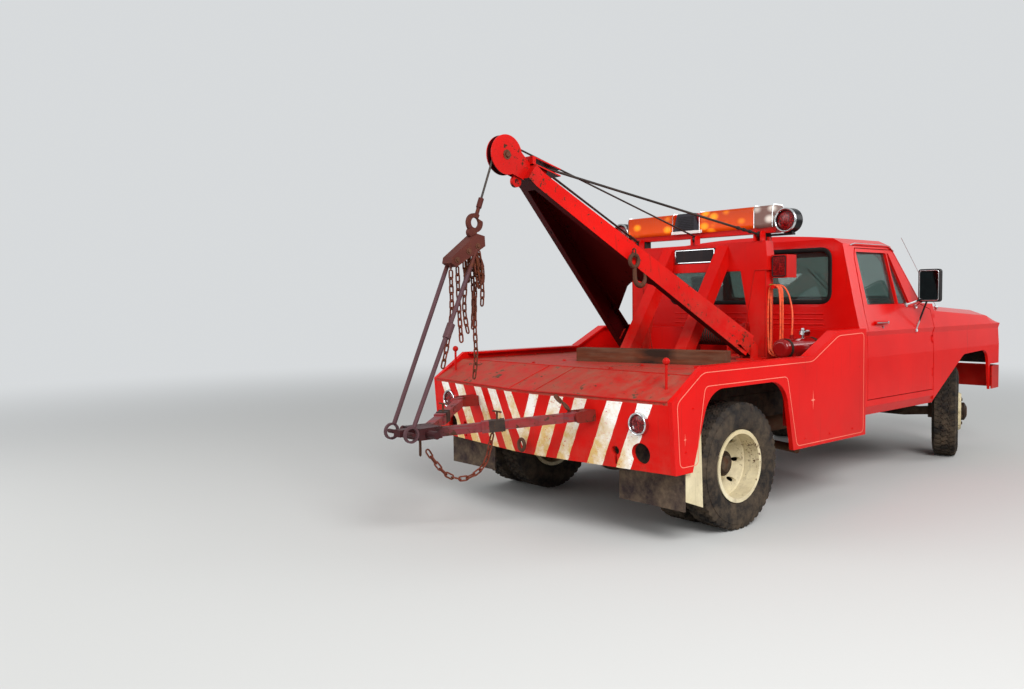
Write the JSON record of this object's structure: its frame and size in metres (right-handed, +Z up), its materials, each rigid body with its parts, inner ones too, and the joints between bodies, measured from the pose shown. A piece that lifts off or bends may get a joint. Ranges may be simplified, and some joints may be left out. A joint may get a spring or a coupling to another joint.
{
  "type": "tow truck",
  "caption": "Weathered red one-ton tow truck with twin rear wheels, an A-frame boom on a mast, a tow bar and sling, and an amber light bar.",
  "frame": {"origin": "on the ground under the middle of the overall length, mid-width", "axes": "+X forward, +Y to the driver's left, +Z up"},
  "size_m": [5.973, 2.365, 2.4269],
  "materials": {
    "red_paint": "gloss",
    "cab_paint": "gloss",
    "black_paint": "satin",
    "wheel_paint": "satin",
    "guard_paint": "matte",
    "iron": "matte",
    "rusty_steel": "matte",
    "wire_rope": "satin",
    "tyre": "matte",
    "flap_rubber": "matte",
    "pane": "clear",
    "amber_lens": "gloss",
    "red_lens": "gloss",
    "chrome": "gloss",
    "hose_rubber": "matte",
    "vinyl": "satin",
    "dash_plastic": "matte",
    "timber": "matte"
  },
  "bodies": {
    "chassis": {"frame": "black_paint", "engine": "iron", "driveline": "iron", "rear_axle": "iron", "front_axle": "iron", "springs": "iron", "exhaust": "rusty_steel", "fuel_tank": "black_paint", "side_panel_left": "red_paint", "side_panel_right": "red_paint", "tail_panel": "red_paint", "deck": "red_paint", "subframe": "black_paint", "body_front": "red_paint", "tail_lamps": "red_lens", "mud_flaps": "flap_rubber", "tail_brackets": "red_paint", "control_rods": "red_paint", "timber": "timber", "mast": "red_paint", "winch": "red_paint", "light_bar": "red_paint", "light_lenses": "amber_lens", "lamps": "red_lens", "air_tank": "red_paint", "hose": "hose_rubber", "cab": "cab_paint", "windows": "pane", "seat": "vinyl", "dash": "dash_plastic", "fenders": "cab_paint", "grille": "chrome", "bumper": "red_paint"},
    "steer_left": {"knuckle_left": "iron"},
    "steer_right": {"knuckle_right": "iron"},
    "wheel_front_left": {"tyre_front_left": "tyre", "rim_front_left": "wheel_paint"},
    "wheel_front_right": {"tyre_front_right": "tyre", "rim_front_right": "wheel_paint"},
    "wheels_rear_left": {"tyre_rear_left": "tyre", "rim_rear_left": "wheel_paint"},
    "wheels_rear_right": {"tyre_rear_right": "tyre", "rim_rear_right": "wheel_paint"},
    "left_door": {"door_left": "cab_paint", "door_glass_left": "pane", "mirror_left": "chrome"},
    "right_door": {"door_right": "cab_paint", "door_glass_right": "pane", "mirror_right": "chrome"},
    "engine_cover": {"bonnet": "cab_paint"},
    "boom_arm": {"boom": "red_paint", "sheave": "rusty_steel"},
    "stay_set": {"stays": "wire_rope"},
    "sling_set": {"sling": "rusty_steel", "sling_chains": "rusty_steel"},
    "tow_frame": {"tow_bar": "red_paint", "tow_chain": "rusty_steel"}
  },
  "joints": [
    {"name": "steer_right", "type": "hinge", "parent": "chassis", "child": "steer_right", "pos_m": [2.2305, -0.692, 0.3895], "axis": [0, 0, 1], "range_deg": [-55, 11]},
    {"name": "steer_left", "type": "hinge", "parent": "chassis", "child": "steer_left", "pos_m": [2.2305, 0.692, 0.3895], "axis": [0, 0, 1], "range_deg": [-55, 11]},
    {"name": "wheel_front_right", "type": "hinge", "parent": "steer_right", "child": "wheel_front_right", "pos_m": [2.2305, -0.692, 0.3895], "axis": [-0.3746, 0.9272, 0], "continuous": true},
    {"name": "wheel_front_left", "type": "hinge", "parent": "steer_left", "child": "wheel_front_left", "pos_m": [2.2305, 0.692, 0.3895], "axis": [-0.3746, 0.9272, 0], "continuous": true},
    {"name": "wheels_rear_right", "type": "hinge", "parent": "chassis", "child": "wheels_rear_right", "pos_m": [-1.1735, -0.824, 0.3895], "axis": [0, 1, 0], "continuous": true},
    {"name": "wheels_rear_left", "type": "hinge", "parent": "chassis", "child": "wheels_rear_left", "pos_m": [-1.1735, 0.824, 0.3895], "axis": [0, 1, 0], "continuous": true},
    {"name": "door_left", "type": "hinge", "parent": "chassis", "child": "left_door", "pos_m": [1.5535, 0.978, 0.925], "axis": [0, 0, -1], "range_deg": [0, 65]},
    {"name": "door_right", "type": "hinge", "parent": "chassis", "child": "right_door", "pos_m": [1.5535, -0.978, 0.925], "axis": [0, 0, 1], "range_deg": [0, 65]},
    {"name": "bonnet", "type": "hinge", "parent": "chassis", "child": "engine_cover", "pos_m": [1.6465, 0, 1.342], "axis": [0, -1, 0], "range_deg": [0, 45]},
    {"name": "boom", "type": "hinge", "parent": "chassis", "child": "boom_arm", "pos_m": [-0.3835, 0, 1.052], "axis": [0, 1, 0], "range_deg": [-4, 8]},
    {"name": "stays", "type": "hinge", "parent": "chassis", "child": "stay_set", "pos_m": [-0.2685, 0, 1.858], "axis": [0, 1, 0], "range_deg": [-4.3, 8.6]},
    {"name": "sling", "type": "hinge", "parent": "boom_arm", "child": "sling_set", "pos_m": [-2.1535, 0, 2.305], "axis": [0, 1, 0], "range_deg": [-1.76, 0.88]},
    {"name": "tow_bar", "type": "hinge", "parent": "chassis", "child": "tow_frame", "pos_m": [-2.0985, 0, 0.735], "axis": [0, 1, 0], "range_deg": [-11.12, 22.24]}
  ],
  "couplings": [
    {"joint": "steer_left", "follows": "steer_right", "ratio": 1},
    {"joint": "stays", "follows": "boom", "ratio": 1.075},
    {"joint": "sling", "follows": "boom", "ratio": -0.22},
    {"joint": "tow_bar", "follows": "boom", "ratio": 2.78}
  ]
}
